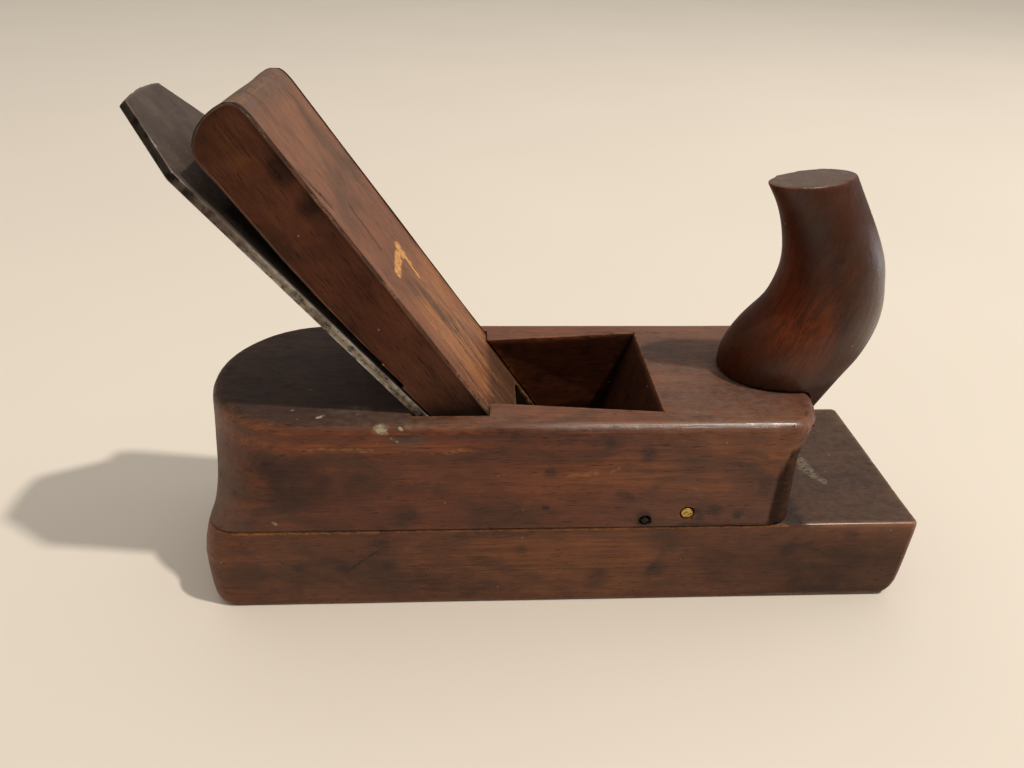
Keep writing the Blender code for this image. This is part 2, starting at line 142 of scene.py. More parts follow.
def arrises(work):
    """The convex edges."""
    return [edge for edge in work.edges if edge.calc_face_angle_signed(0.0) > ARRIS_ANGLE]


def edge_middle(edge):
    return (edge.verts[0].co + edge.verts[1].co) / 2


class Skin:
    """A fine copy of a CAD node, with its points and edges as arrays."""

    def __init__(self, node, body, slot):
        self.low, self.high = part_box(node)
        mesh = frame["nodes"][node].data.copy()
        weld(mesh)
        mesh.materials.clear()
        self.piece = bpy.data.objects.new(f"{node}_worn", mesh)
        bpy.context.scene.collection.objects.link(self.piece)
        self.node, self.body, self.slot = node, body, slot

    def remesh(self, voxel):
        """Replaces the skin by an even mesh of that size, for round pieces."""
        modifier = self.piece.modifiers.new("skin", "REMESH")
        modifier.mode = "VOXEL"
        modifier.voxel_size = voxel
        self.bake()

    def slice(self, bevel, spacing, axes, crisp=None, soft=None, soft_bevel=0.0):
        """Rounds the convex arrises, then cuts a fine grid across the skin along the axes.

        crisp and soft pick edges by their middle point: crisp ones stay sharp, soft ones
        get the wider soft_bevel.
        """
        work = bmesh.new()
        work.from_mesh(self.piece.data)
        bmesh.ops.dissolve_limit(work, angle_limit=FLAT_ANGLE, verts=work.verts, edges=work.edges)
        if soft:
            chosen = [edge for edge in arrises(work) if soft(edge_middle(edge))]
            bmesh.ops.bevel(
                work, geom=chosen, offset=soft_bevel, segments=5, profile=0.5, affect="EDGES"
            )
        chosen = [edge for edge in arrises(work) if not (crisp and crisp(edge_middle(edge)))]
        bmesh.ops.bevel(work, geom=chosen, offset=bevel, segments=2, profile=0.5, affect="EDGES")
        for axis in axes:
            reach = [vert.co.dot(axis) for vert in work.verts]
            count = int((max(reach) - min(reach)) / spacing)
            for step in range(1, count):
                at = min(reach) + (max(reach) - min(reach)) * step / count
                geom = work.verts[:] + work.edges[:] + work.faces[:]
                bmesh.ops.bisect_plane(work, geom=geom, plane_co=axis * at, plane_no=axis)
        work.to_mesh(self.piece.data)
        work.free()
        modifier = self.piece.modifiers.new("halve", "SUBSURF")
        modifier.subdivision_type = "SIMPLE"
        modifier.levels = 1
        self.bake()

    def bake(self):
        """Replaces the mesh by what its modifiers make of it, and reads that."""
        graph = bpy.context.evaluated_depsgraph_get()
        mesh = bpy.data.meshes.new_from_object(self.piece.evaluated_get(graph))
        self.piece.modifiers.clear()
        self.piece.data = mesh
        self.read()

    def read(self):
        mesh = self.piece.data
        self.points = np.empty(len(mesh.vertices) * 3)
        mesh.vertices.foreach_get("co", self.points)
        self.points = self.points.reshape(-1, 3)
        self.edges = np.empty(len(mesh.edges) * 2, int)
        mesh.edges.foreach_get("vertices", self.edges)
        self.edges = self.edges.reshape(-1, 2)
        self.degree = np.bincount(self.edges.ravel(), minlength=len(self.points))
        self.read_normals()

    def read_normals(self):
        mesh = self.piece.data
        mesh.vertices.foreach_set("co", self.points.astype(np.float32).ravel())
        mesh.update()
        normals = np.empty(len(self.points) * 3)
        mesh.vertex_normals.foreach_get("vector", normals)
        self.normals = normals.reshape(-1, 3)

    def around(self, values):
        """The mean of each point's neighbours."""
        columns = values if values.ndim == 2 else values[:, None]
        first, second = self.edges[:, 0], self.edges[:, 1]
        mean = np.empty_like(columns, dtype=float)
        for column in range(columns.shape[1]):
            total = np.bincount(first, columns[second, column], len(columns))
            total += np.bincount(second, columns[first, column], len(columns))
            mean[:, column] = total / self.degree
        return mean.reshape(values.shape)

    def blur(self, values, times):
        """Spreads the values over the skin, a step further each time."""
        for _ in range(times):
            values = 0.5 * values + 0.5 * self.around(values)
        return values

    def soften(self, times, round_times):
        """Smooths facets away while keeping the volume, then rounds the arrises a little."""
        for _ in range(times):
            for share in (0.5, -0.52):
                self.points += share * (self.around(self.points) - self.points)
        for _ in range(round_times):
            self.points += 0.5 * (self.around(self.points) - self.points)
        self.read_normals()

    def bend(self):
        """How sharply the skin curves at each point, in 1/mm: above 0 on arrises."""
        first, second = self.edges[:, 0], self.edges[:, 1]
        step = self.points[second] - self.points[first]
        turn = ((self.normals[second] - self.normals[first]) * step).sum(axis=1)
        turn /= np.maximum((step**2).sum(axis=1), (0.05 * MM) ** 2)
        total = np.bincount(first, turn, len(self.points))
        total += np.bincount(second, turn, len(self.points))
        return total / self.degree * MM

    def push(self, depth):
        """Moves the points inwards by depth, in metres."""
        self.points -= self.normals * np.maximum(depth, 0.0)[:, None]
        self.read_normals()

    def keep(self, name, values):
        """Stores a mask from 0 to 1 on the points, for the material to read."""
        attribute = self.piece.data.attributes.new(name, "FLOAT", "POINT")
        attribute.data.foreach_set("value", np.clip(values, 0.0, 1.0).astype(np.float32))

    def relax(self, share, times):
        """Wears convex places down towards their neighbours; share says how fast, 0 to 1."""
        for _ in range(times):
            pull = ((self.around(self.points) - self.points) * self.normals).sum(axis=1)
            self.points += (0.6 * share * np.minimum(pull, 0.0))[:, None] * self.normals
            self.read_normals()

    def wear_arrises(self, seed, times, nick, cell=9 * MM, share=1.0):
        """Rounds the arrises unevenly, nicks them, and returns how much each point shows it."""
        arris = np.clip(self.blur(np.clip(self.bend(), 0.0, 1.0), 2) * 1.8, 0.0, 1.0)
        uneven = ramp(rough_noise(self.points, cell, seed), -0.6, 0.8)
        self.relax(share * (0.25 + 0.75 * uneven), times)
        nicks = ramp(rough_noise(self.points, cell * 0.3, seed + 9), 0.50, 0.95)
        self.push(share * nick * nicks * self.blur(arris, 3))
        return arris * share

    def hollows(self):
        """1 in the inner corners, for dirt and painted shade there."""
        return np.clip(self.blur(np.clip(-self.bend(), 0.0, 1.0), 3) * 2.5, 0.0, 1.0)

    def wave(self, seed, depth, cell, share=1.0):
        """Lets the faces dip unevenly, by up to depth."""
        self.push(depth * share * (0.5 + 0.5 * soft_noise(self.points, cell, seed)))

    def finish(self, material):
        """Keeps the skin in its node's box, gives it its material and hangs it on its body."""
        self.points = np.clip(self.points, np.array(self.low), np.array(self.high))
        self.read_normals()
        self.piece.data.materials.append(material)
        self.piece.data.shade_smooth()
        self.piece.data.set_sharp_from_angle(angle=SHARP_ANGLE)
        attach(self.piece, self.body)
        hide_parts(self.node)


def blob(points, centre, radii, seed=0, rough=0.35):
    """A soft-edged spot, 1 at its centre and 0 at its radii, with an uneven outline."""
    away = (points - np.array(centre)) / np.array(radii)
    distance = np.sqrt((away**2).sum(axis=1))
    distance += rough * soft_noise(points, min(radii) * 0.9, 100 + seed)
    return 1.0 - ramp(distance, 0.25, 1.0)


def groove(points, start, end, width):
    """1 along the straight line from start to end, 0 beyond width from it."""
    start, end = np.array(start), np.array(end)
    line = end - start
    share = np.clip((points - start) @ line / (line @ line), 0.0, 1.0)
    away = points - (start + share[:, None] * line)
    return 1.0 - ramp(np.sqrt((away**2).sum(axis=1)), 0.0, width)


# ---- Materials ------------------------------------------------------------------------

# GRIME_AND_SHADE is the colour of grime and of painted shade in recesses, corners and under the wedge.
GRIME_AND_SHADE = (0.0100, 0.0062, 0.0045)
STAIN = (0.0110, 0.0084, 0.0088)
RUDDY_TINT = (0.82, 0.57, 0.46)
# DUST_AND_SHEEN is the colour of dust and of painted sheen and highlights on the arris and the heel.
DUST_AND_SHEEN = (0.135, 0.108, 0.088)
CHALK = (0.40, 0.34, 0.24)
FLECK = (0.42, 0.37, 0.31)


class Nodes:
    """Short calls for building one material's node tree."""

    def __init__(self, name):
        self.material = bpy.data.materials.new(name)
        self.material.use_nodes = True
        self.tree = self.material.node_tree
        self.shader = self.tree.nodes["Principled BSDF"]
        self.place = self.tree.nodes.new("ShaderNodeTexCoord").outputs["Object"]

    def add(self, kind, **settings):
        node = self.tree.nodes.new(kind)
        for key, value in settings.items():
            setattr(node, key, value)
        return node

    def feed(self, socket, source):
        if isinstance(source, bpy.types.NodeSocket):
            self.tree.links.new(source, socket)
        else:
            socket.default_value = source

    def math(self, operation, first, second=0.0, clamp=False):
        node = self.add("ShaderNodeMath", operation=operation, use_clamp=clamp)
        self.feed(node.inputs[0], first)
        self.feed(node.inputs[1], second)
        return node.outputs[0]

    def times(self, *values):
        total = values[0]
        for value in values[1:]:
            total = self.math("MULTIPLY", total, value)
        return total

    def plus(self, *values):
        total = values[0]
        for value in values[1:]:
            total = self.math("ADD", total, value)
        return total

    def blend(self, share, first, second, mode="MIX"):
        node = self.add("ShaderNodeMix", data_type="RGBA", blend_type=mode)
        for socket, value in zip((0, 6, 7), (share, first, second)):
            if isinstance(value, tuple):
                value = (*value, 1.0)
            self.feed(node.inputs[socket], value)
        return node.outputs[2]

    def window(self, value, low, high):
        node = self.add("ShaderNodeMapRange", interpolation_type="SMOOTHSTEP")
        self.feed(node.inputs["Value"], value)
        node.inputs["From Min"].default_value = low
        node.inputs["From Max"].default_value = high
        return node.outputs["Result"]

    def spread(self, value, low, high):
        """Maps 0 to 1 onto low to high."""
        return self.plus(self.times(value, high - low), low)

    def cells(self, size, turn=0.0, shift=0.0):
        """Coordinates in which one unit is one cell; turn is about Y, from +X towards +Z."""
        node = self.add("ShaderNodeMapping", vector_type="TEXTURE")
        self.feed(node.inputs["Vector"], self.place)
        node.inputs["Location"].default_value = (shift, shift, shift)
        node.inputs["Rotation"].default_value = (0.0, -turn, 0.0)
        node.inputs["Scale"].default_value = size
        return node.outputs["Vector"]

    def noise(self, size, turn=0.0, detail=2.0, rough=0.5, warp=0.0, shift=0.0):
        node = self.add("ShaderNodeTexNoise")
        self.feed(node.inputs["Vector"], self.cells(size, turn, shift))
        node.inputs["Scale"].default_value = 1.0
        node.inputs["Detail"].default_value = detail
        node.inputs["Roughness"].default_value = rough
        node.inputs["Distortion"].default_value = warp
        return node.outputs["Fac"]

    def specks(self, cell, size, rarity):
        """Tiny scattered dots: size is their share of a cell, rarity the share left out."""
        node = self.add("ShaderNodeTexVoronoi")
        self.feed(node.inputs["Vector"], self.cells((cell, cell, cell)))
        node.inputs["Scale"].default_value = 1.0
        dot = self.math("LESS_THAN", node.outputs["Distance"], size)
        channel = self.add("ShaderNodeSeparateColor")
        self.feed(channel.inputs[0], node.outputs["Color"])
        chosen = self.math("GREATER_THAN", channel.outputs[0], rarity)
        return self.times(dot, chosen)

    def vector(self, operation, first, second):
        node = self.add("ShaderNodeVectorMath", operation=operation)
        self.feed(node.inputs[0], first)
        self.feed(node.inputs[1], second)
        return node.outputs[1] if operation in ("DISTANCE", "DOT_PRODUCT") else node.outputs[0]

    def wander(self, amount, cell):
        """The place on the object, shifted about by up to half of amount."""
        node = self.add("ShaderNodeTexNoise")
        self.feed(node.inputs["Vector"], self.cells((cell, cell, cell)))
        node.inputs["Scale"].default_value = 1.0
        node.inputs["Detail"].default_value = 3.0
        centred = self.vector("SUBTRACT", node.outputs["Color"], (0.5, 0.5, 0.5))
        return self.vector("ADD", self.place, self.vector("MULTIPLY", centred, (amount,) * 3))

    def stroke(self, place, start, end, width):
        """1 on the line from start to end, fading to 0 at width from it."""
        start, end = Vector(start), Vector(end)
        line = end - start
        unit = tuple(line / line.length_squared)
        share = self.vector("DOT_PRODUCT", self.vector("SUBTRACT", place, tuple(start)), unit)
        share = self.math("ADD", share, 0.0, clamp=True)
        scaled = self.add("ShaderNodeVectorMath", operation="SCALE")
        scaled.inputs[0].default_value = line
        self.feed(scaled.inputs["Scale"], share)
        nearest = self.vector("ADD", scaled.outputs[0], tuple(start))
        return self.window(self.vector("DISTANCE", place, nearest), width, 0.45 * width)

    def strokes(self, amount, cell, marks):
        """The strongest of several strokes; each mark is (start, end, width)."""
        place = self.wander(amount, cell)
        total = 0.0
        for start, end, width in marks:
            total = self.math("MAXIMUM", total, self.stroke(place, start, end, width))
        return total

    def mask(self, name):
        return self.add("ShaderNodeAttribute", attribute_name=name).outputs["Fac"]

    def bump(self, height, distance, strength=1.0):
        node = self.add("ShaderNodeBump")
        self.feed(node.inputs["Height"], height)
        node.inputs["Distance"].default_value = distance
        node.inputs["Strength"].default_value = strength
        self.feed(self.shader.inputs["Normal"], node.outputs["Normal"])


def worn_wood(
    name,
    deep,
    body,
    light,
    glow,
    turn=0.0,
    gloss=0.42,
    shine=0.28,
    grain=1.0,
    film_tone=(0.062, 0.034, 0.022),
    marks=(),
):
    """Old oiled wood, which reads the masks that its skin keeps.

    deep, body and light are its tones, glow its colour where it is rubbed, turn the grain's
    slope, grain its strength, film_tone the old oil and marks the lines, from mark().
    """
    n = Nodes(name)
    broad = n.noise((0.034, 0.012, 0.012), turn, 4.0, 0.6, 0.5)
    streaks = n.noise((0.034, 0.0015, 0.0015), turn, 3.0, 0.6, 0.4)
    fibres = n.noise((0.0085, 0.00052, 0.00052), turn, 3.0, 0.65, 0.15)
    hairs = n.noise((0.0026, 0.00026, 0.00026), turn, 2.0, 0.6)
    fleck = n.window(n.noise((0.0038, 0.00042, 0.00042), turn, 1.0, 0.5, 0.3, 0.3), 0.66, 0.74)
    pores = n.window(n.noise((0.0085, 0.00055, 0.00055), turn, 2.0, 0.6, 0.4, 0.9), 0.66, 0.74)
    ember = n.window(n.noise((0.0120, 0.00090, 0.00090), turn, 3.0, 0.65, 0.4, 1.7), 0.56, 0.70)
    mottle = n.noise((0.0036, 0.0026, 0.0026), turn, 4.0, 0.7, 0.3)
    cloud = n.noise((0.021, 0.015, 0.015), turn, 5.0, 0.62, 0.8, 2.3)

    tone = n.plus(
        n.times(broad, 1.10),
        n.times(cloud, 0.90),
        n.times(streaks, 0.50 * grain),
        n.times(fibres, 0.60 * grain),
        n.times(hairs, 0.45 * grain),
        n.times(mottle, 0.45),
        -(1.225 + 0.775 * grain),
    )
    color = n.blend(n.window(tone, -0.42, 0.02), deep, body)
    color = n.blend(n.window(tone, -0.02, 0.42), color, light)
    rub = n.times(n.mask("glow"), n.spread(n.window(streaks, 0.36, 0.60), 0.30, 1.0))
    rub = n.times(rub, n.spread(n.window(fibres, 0.32, 0.60), 0.35, 1.0))
    rub = n.math("MAXIMUM", rub, n.times(ember, n.spread(n.mask("glow"), 0.20, 0.9), 0.75 * grain))
    color = n.blend(rub, color, glow)
    dark_line = n.math("MAXIMUM", n.times(fleck, 0.70 * grain), n.times(pores, 0.70 * grain))
    color = n.blend(dark_line, color, tuple(0.35 * value for value in deep))
    haze = n.window(n.noise((0.030, 0.017, 0.017), turn, 5.0, 0.65, 0.7, 4.1), 0.47, 0.66)
    color = n.blend(n.times(haze, n.spread(mottle, 0.35, 0.95)), color, film_tone)

    # The grime_and_shade mask darkens real grime and painted shade alike.
    grime_and_shade = n.times(n.mask("grime_and_shade"), n.spread(mottle, 0.7, 1.25))
    color = n.blend(n.math("MULTIPLY", grime_and_shade, 0.9, clamp=True), color, GRIME_AND_SHADE)
    stain = n.times(n.mask("stain"), n.spread(n.window(mottle, 0.3, 0.62), 0.45, 1.0))
    color = n.blend(n.times(stain, 0.88), color, STAIN)
    color = n.blend(n.mask("ruddy"), color, RUDDY_TINT, "MULTIPLY")
    wear = n.mask("wear")
    bare = n.times(wear, n.window(n.noise((0.005, 0.0012, 0.0012), turn, 3.0, 0.6), 0.40, 0.60))
    color = n.blend(n.times(bare, 0.60), color, glow)
    film = n.window(n.noise((0.0030, 0.0026, 0.0026), 0, 5.0, 0.75), 0.30, 0.72)
    # The dust_and_sheen mask lightens real dust and painted sheen alike.
    dust_and_sheen = n.times(n.mask("dust_and_sheen"), film)
    color = n.blend(n.times(dust_and_sheen, 0.8), color, DUST_AND_SHEEN)
    pale = n.times(n.mask("pale"), n.spread(film, 0.25, 1.2))
    color = n.blend(n.math("MULTIPLY", pale, 1.0, clamp=True), color, CHALK)
    speck = n.specks(0.0058, 0.040, 0.55)
    color = n.blend(n.times(speck, 0.55), color, FLECK)
    relief = 0.0
    crumbs = n.window(n.noise((0.0016, 0.0007, 0.0007), turn, 3.0, 0.7, 0.5, 6.0), 0.40, 0.56)
    for tint, amount, cell, strength, height, lines in marks:
        drawn = n.strokes(amount, cell, lines)
        drawn = n.times(drawn, n.spread(crumbs, max(0.0, 1.2 * strength - 0.75), 1.0))
        color = n.blend(n.times(drawn, strength), color, tint)
        relief = n.plus(relief, n.times(drawn, height))
    n.feed(n.shader.inputs["Base Color"], color)

    rough = n.spread(n.noise((0.012, 0.006, 0.006), turn, 4.0, 0.65), gloss - 0.10, gloss + 0.12)
    rough = n.plus(rough, n.times(dust_and_sheen, 0.25), n.times(grime_and_shade, 0.25), n.times(fibres, 0.08))
    polish, dull = n.mask("polish"), n.mask("dull")
    rough = n.plus(rough, n.times(fleck, 0.10), n.times(haze, 0.05), n.times(polish, -0.22))
    n.feed(n.shader.inputs["Roughness"], n.plus(rough, n.times(dull, 0.25)))
    level = n.spread(polish, shine, shine + 0.60)
    n.feed(n.shader.inputs["Specular IOR Level"], n.times(level, n.spread(dull, 1.0, 0.08)))
    n.feed(n.shader.inputs["Coat Weight"], polish)
    n.shader.inputs["Coat Roughness"].default_value = 0.22

    pits = n.noise((0.0016, 0.0011, 0.0011), turn, 3.0, 0.7)
    dents = n.noise((0.007, 0.004, 0.004), turn, 2.0, 0.5)
    height = n.plus(
        n.times(streaks, 0.30 * grain),
        n.times(fibres, 0.26 * grain),
        n.times(dark_line, -0.30),
        n.times(pits, 0.20),
        n.times(dents, 0.50),
        n.times(speck, 0.2),
        relief,
    )
    n.bump(height, 0.35 * MM, 0.9)
    return n.material


def old_steel(name):
    """Forged steel with a dark patina, brighter and pitted where its edges are worn."""
    n = Nodes(name)
    tilt = math.atan2(BED_AXIS.z, BED_AXIS.x)
    cloud = n.noise((0.016, 0.010, 0.010), tilt, 4.0, 0.6, 0.5)
    fine = n.noise((0.0020, 0.0014, 0.0014), tilt, 4.0, 0.7)
    color = n.blend(n.window(cloud, 0.36, 0.66), (0.062, 0.040, 0.031), (0.105, 0.073, 0.057))
    color = n.blend(n.times(n.window(fine, 0.5, 0.75), 0.40), color, (0.036, 0.027, 0.021))
    rim = n.mask("rim")
    bare = n.blend(n.window(fine, 0.36, 0.60), (0.036, 0.024, 0.016), (0.200, 0.150, 0.108))
    color = n.blend(rim, color, bare)
    bright = n.times(n.mask("wear"), n.window(fine, 0.30, 0.50))
    color = n.blend(bright, color, (0.60, 0.55, 0.48))
    # The grime_and_shade mask darkens grime on the steel and the painted shade of the wedge on its face.
    grime_and_shade = n.mask("grime_and_shade")
    color = n.blend(grime_and_shade, color, (0.016, 0.010, 0.007))
    speck = n.specks(0.0042, 0.055, 0.58)
    color = n.blend(n.times(speck, 0.6), color, (0.30, 0.26, 0.22))
    n.feed(n.shader.inputs["Base Color"], color)
    n.feed(n.shader.inputs["Metallic"], n.plus(n.spread(bright, 0.40, 0.95), n.times(grime_and_shade, -0.35)))
    n.feed(n.shader.inputs["Specular IOR Level"], n.spread(grime_and_shade, 0.5, 0.08))
    n.feed(n.shader.inputs["Roughness"], n.plus(n.spread(fine, 0.42, 0.64), n.times(bright, -0.12)))
    pits = n.window(n.noise((0.0018, 0.0012, 0.0012), tilt, 3.0, 0.7, 0.0, 0.6), 0.55, 0.75)
    n.bump(n.plus(n.times(fine, 0.5), n.times(pits, -1.0)), 0.16 * MM)
    return n.material


def old_metal(name, dark, bright, metallic, rough):
    """A pin's end: hammered, tarnished in its hollows."""
    n = Nodes(name)
    cloud = n.noise((0.0011, 0.0011, 0.0011), 0.0, 3.0, 0.6)
    n.feed(n.shader.inputs["Base Color"], n.blend(n.window(cloud, 0.36, 0.60), dark, bright))
    n.shader.inputs["Metallic"].default_value = metallic
    n.feed(n.shader.inputs["Roughness"], n.spread(cloud, rough - 0.1, rough + 0.15))
    n.bump(cloud, 0.25 * MM)
    return n.material


# ---- Pieces ---------------------------------------------------------------------------


def facing(skin, axis, sign, sharpness=0.55):
    """1 where the skin faces that way."""
    return ramp(sign * skin.normals[:, axis], sharpness, 0.95)


def side_spots(skin, blots, seed):
    """Several soft spots on a side; each is (x, z, radius, strength)."""
    flat = skin.points * (1.0, 0.0, 1.0)
    total = np.zeros(len(flat))
    for index, (x, z, radius, strength) in enumerate(blots):
        spot = blob(flat, (x, 0.0, z), (radius, radius, radius), seed + index, 0.45)
        total = np.maximum(total, strength * spot)
    return total


def outside(spot):
    """Whether a spot on the stock's top lies on its outer arris, not round the throat."""
    return abs(spot.y) > 29 * MM or spot.x < -70 * MM or spot.x > 66 * MM


STOCK_BLOTS = (
    (0.0123, 0.0620, 0.0030, 0.9),
    (0.0236, 0.0588, 0.0042, 0.9),
    (0.0177, 0.0425, 0.0034, 0.8),
    (0.0406, 0.0345, 0.0040, 0.9),
    (0.0534, 0.0358, 0.0026, 0.9),
    (-0.0703, 0.0495, 0.0034, 0.6),
    (-0.0594, 0.0504, 0.0032, 0.5),
    (-0.0475, 0.0367, 0.0060, 0.7),
    (-0.0046, 0.0515, 0.0030, 0.8),
    (-0.0058, 0.0391, 0.0016, 0.9),
    (-0.0151, 0.0647, 0.0034, 0.7),
    (0.0460, 0.0370, 0.0036, 0.8),
    (0.0247, 0.0345, 0.0032, 1.0),
    (0.0600, 0.0470, 0.0040, 0.6),
)
SOLE_BLOTS = (
    (0.0120, 0.0085, 0.0056, 0.7),
    (0.0308, 0.0133, 0.0045, 0.8),
    (0.0725, 0.0202, 0.0040, 0.6),
    (0.0917, 0.0262, 0.0040, 0.6),
    (-0.0554, 0.0253, 0.0036, 0.7),
    (-0.0805, 0.0166, 0.0030, 0.6),
    (-0.0671, 0.0155, 0.0036, 0.7),
    (-0.0538, 0.0156, 0.0030, 0.5),
    (-0.0440, 0.0128, 0.0030, 0.5),
    (-0.0116, 0.0223, 0.0034, 0.6),
)

CREAM = (0.48, 0.41, 0.27)
PALE_SCUFF = (0.30, 0.28, 0.20)
PALE_CHIP = (0.40, 0.24, 0.13)
AMBER = (0.44, 0.185, 0.045)
TAN = (0.36, 0.175, 0.065)
SCRATCH = (0.72, 0.36, 0.11)
SOOT = (0.008, 0.005, 0.004)


def mark(tint, wander, cell, strength, height, *groups):
    """Lines of one colour, which stray by wander over a cell; height above 0 stands proud."""
    return tint, wander, cell, strength, height, [line for group in groups for line in group]


def side_lines(width, *spans):
    """Lines on the near side, each from (x, z) to (x, z)."""
    return [((x0, NEAR_Y, z0), (x1, NEAR_Y, z1), width) for x0, z0, x1, z1 in spans]


def top_line(width, height, start, end):
    """A line on a top that lies at that height, from (x, y) to (x, y)."""
    return [((*start, height), (*end, height), width)]


def arris_line(width, start, end):
    """A line on the near top arris; its ends are (x, distance behind the side, z)."""
    (x0, behind0, z0), (x1, behind1, z1) = start, end
    return [((x0, NEAR_Y + behind0, z0), (x1, NEAR_Y + behind1, z1), width)]


def wedge_spot(along, y, depth=0.0):
    """A place on the wedge: along its front face from the stock's top, and out of that face."""
    return tuple(WEDGE_FRONT + Vector((0.0, y, 0.0)) + WEDGE_AXIS * along + WEDGE_OUT * depth)


def wedge_lines(width, *spans):
    """Lines on the wedge, each from one wedge_spot to another."""
    return [(wedge_spot(*start), wedge_spot(*end), width) for start, end in spans]


def nail_line(width):
    """A short line across the nail's end, which blackens the wood round it."""
    x, z = (NAIL_LOW.x + NAIL_HIGH.x) / 2, (NAIL_LOW.z + NAIL_HIGH.z) / 2
    return side_lines(width, (x - 0.4 * MM, z, x + 0.4 * MM, z + 0.2 * MM))


STOCK_MARKS = (
    mark(
        CREAM,
        1.6 * MM,
        1.3 * MM,
        0.72,
        0.3,
        side_lines(0.9 * MM, (-0.0498, 0.0640, -0.0484, 0.0634), (-0.0864, 0.0343, -0.0860, 0.0341)),
        arris_line(1.5 * MM, (-0.0536, 1.6 * MM, 0.0674), (-0.0520, 1.0 * MM, 0.0664)),
        arris_line(0.7 * MM, (-0.0478, 1.6 * MM, 0.0674), (-0.0470, 1.2 * MM, 0.0669)),
        top_line(0.8 * MM, TOP_Z, (-0.0708, -0.0268), (-0.0694, -0.0258)),
        top_line(0.5 * MM, TOP_Z, (-0.0788, -0.0231), (-0.0784, -0.0230)),
    ),
    mark(
        SOOT,
        0.8 * MM,
        2.0 * MM,
        0.75,
        -0.6,
        side_lines(0.45 * MM, (-0.0755, 0.0517, -0.0722, 0.0517), (-0.0660, 0.0522, -0.0640, 0.0522)),
        side_lines(0.40 * MM, (-0.0520, 0.0514, -0.0470, 0.0517), (-0.0220, 0.0482, -0.0120, 0.0480)),
        side_lines(0.40 * MM, (-0.0080, 0.0470, 0.0010, 0.0466), (0.0040, 0.0464, 0.0090, 0.0461)),
        side_lines(0.85 * MM, (-0.0062, 0.0391, -0.0054, 0.0391)),
        nail_line(2.0 * MM),
    ),
    mark(
        AMBER,
        3.4 * MM,
        5.0 * MM,
        0.42,
        0.1,
        side_lines(1.0 * MM, (-0.0395, 0.0590, -0.0275, 0.0600), (-0.0020, 0.0497, 0.0155, 0.0530)),
        side_lines(0.9 * MM, (-0.0850, 0.0612, -0.0560, 0.0606)),
    ),
)
SOLE_MARKS = (
    mark(
        SOOT,
        0.9 * MM,
        2.2 * MM,
        0.85,
        -0.8,
        side_lines(0.42 * MM, (-0.0665, 0.0143, -0.0618, 0.0186), (-0.0618, 0.0186, -0.0568, 0.0224)),
    ),
    mark(
        AMBER,
        0.9 * MM,
        2.5 * MM,
        0.40,
        0.1,
        # Worn arris and painted highlight: amber lines where the sole's top edge catches the light, just
        # under the joint.
        side_lines(0.8 * MM, (-0.0990, JOINT_Z - 0.6 * MM, -0.0560, JOINT_Z - 0.6 * MM)),
        side_lines(0.5 * MM, (-0.0500, JOINT_Z - 0.4 * MM, 0.0700, JOINT_Z - 0.4 * MM)),
        side_lines(0.5 * MM, (-0.0900, 0.7 * MM, 0.0900, 0.7 * MM)),
    ),
    mark(
        PALE_SCUFF,
        3.2 * MM,
        2.2 * MM,
        0.42,
        0.15,
        top_line(3.2 * MM, JOINT_Z, (0.0850, 0.0030), (0.0862, -0.0050)),
        top_line(2.0 * MM, JOINT_Z, (0.0862, -0.0060), (0.0896, -0.0112)),
    ),
)
WEDGE_MARKS = (
    mark(
        SCRATCH,
        2.6 * MM,
        2.2 * MM,
        0.95,
        -0.3,
        wedge_lines(2.6 * MM, ((0.0458, 0.0066), (0.0445, 0.0045))),
        wedge_lines(1.9 * MM, ((0.0455, 0.0020), (0.0442, -0.0095))),
        wedge_lines(1.9 * MM, ((0.0435, 0.0062), (0.0405, 0.0054))),
        wedge_lines(1.1 * MM, ((0.0405, 0.0054), (0.0360, 0.0040))),
    ),
    mark(
        TAN,
        3.0 * MM,
        4.0 * MM,
        0.55,
        0.10,
        wedge_lines(1.3 * MM, ((0.0310, 0.0030), (0.0030, -0.0020))),
        wedge_lines(1.3 * MM, ((0.0260, -0.0060), (-0.0030, -0.0110))),
        wedge_lines(1.0 * MM, ((0.0220, -0.0110), (0.0010, -0.0150))),
        wedge_lines(1.0 * MM, ((0.0150, 0.0060), (-0.0060, 0.0020))),
        wedge_lines(0.8 * MM, ((0.0330, 0.0120), (0.0100, 0.0100))),
        wedge_lines(0.8 * MM, ((0.0120, -0.0180), (-0.0020, -0.0205))),
    ),
    mark(
        SOOT,
        1.2 * MM,
        2.4 * MM,
        0.70,
        -0.7,
        wedge_lines(0.6 * MM, ((0.0820, -0.0215), (0.0740, -0.0190))),
        wedge_lines(0.6 * MM, ((0.0280, -0.0020), (0.0020, -0.0068))),
        wedge_lines(0.6 * MM, ((0.0180, 0.0020), (-0.0060, -0.0015))),
        wedge_lines(0.6 * MM, ((0.0250, -0.0135), (0.0060, -0.0175))),
        wedge_lines(0.9 * MM, ((0.0900, -0.0245, -0.0030), (0.0835, -0.0245, -0.0042))),
    ),
    mark(
        PALE_CHIP,
        1.3 * MM,
        1.2 * MM,
        0.55,
        0.2,
        wedge_lines(0.55 * MM, ((0.0150, -0.0242), (-0.0040, -0.0242))),
        wedge_lines(0.55 * MM, ((0.0760, -0.0240), (0.0690, -0.0240))),
        wedge_lines(0.5 * MM, ((0.0985, -0.0240), (0.0930, -0.0238))),
        wedge_lines(0.5 * MM, ((0.0480, -0.0240), (0.0430, -0.0240))),
    ),
)


